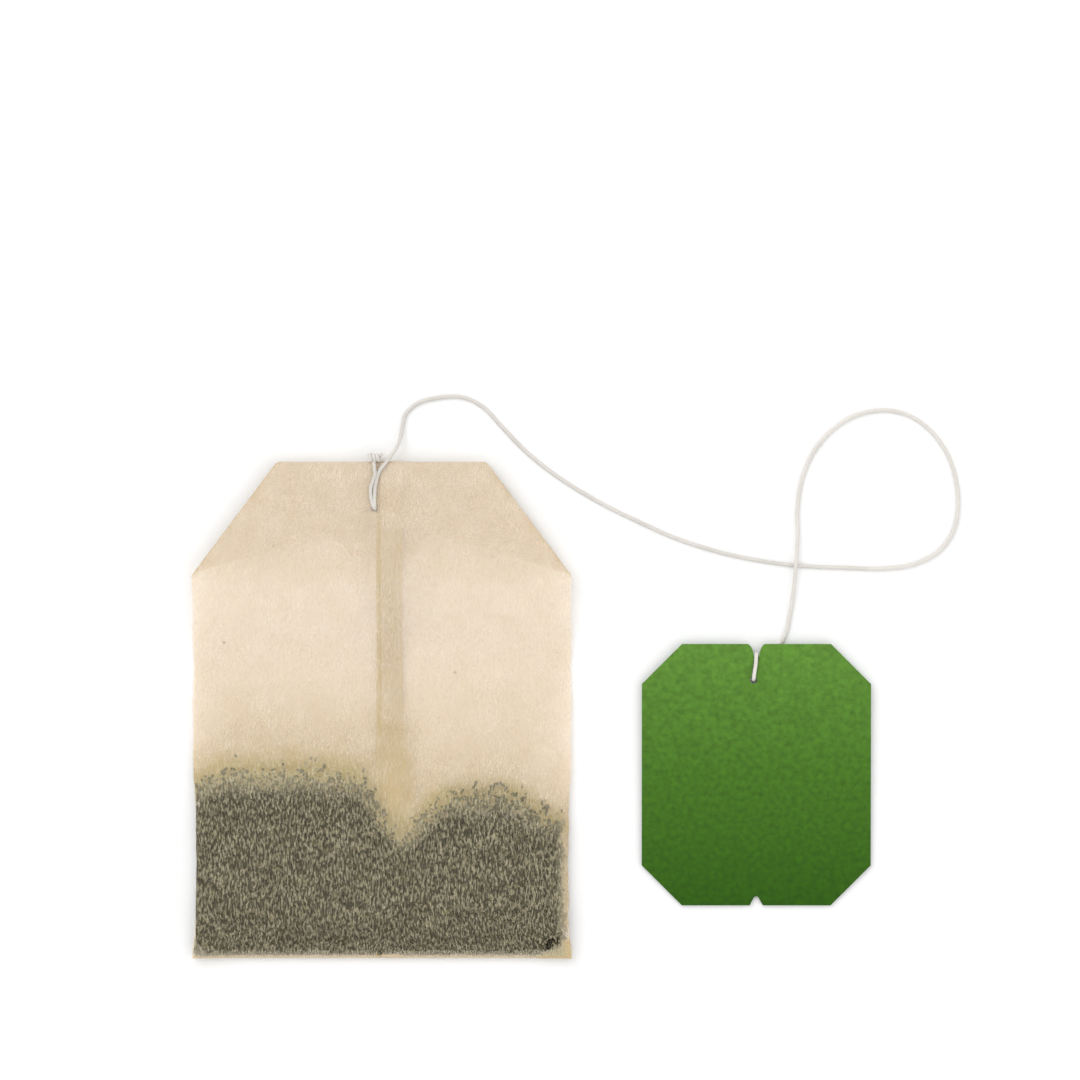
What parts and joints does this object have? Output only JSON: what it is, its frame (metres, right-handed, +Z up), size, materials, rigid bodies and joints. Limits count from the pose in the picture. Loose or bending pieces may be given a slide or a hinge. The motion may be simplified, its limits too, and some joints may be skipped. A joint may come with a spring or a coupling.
{
  "type": "string-and-tag tea bag",
  "caption": "Folded double-chamber paper tea bag filled with dark leaf tea, with a cotton string stitched through its head and an eight-sided green card tag, lying flat.",
  "frame": {"origin": "the middle of the bag's flat underside, on the surface it lies on", "axes": "+Y from the bag's base to its folded head, +X to the side where the tag lies, +Z up from the surface"},
  "size_m": [0.0938, 0.0688, 0.0045],
  "materials": {
    "filter_paper": "matte, thin and see-through, long-fibre filter paper",
    "leaf_tea": "dry, matte, finely broken leaf",
    "cotton": "matte twisted cotton",
    "green_card": "smooth printed card, satin"
  },
  "bodies": {
    "root": {"filter_paper_bag": "filter_paper", "tea_front": "leaf_tea", "tea_back": "leaf_tea", "string": "cotton", "tag": "green_card"}
  },
  "joints": []
}
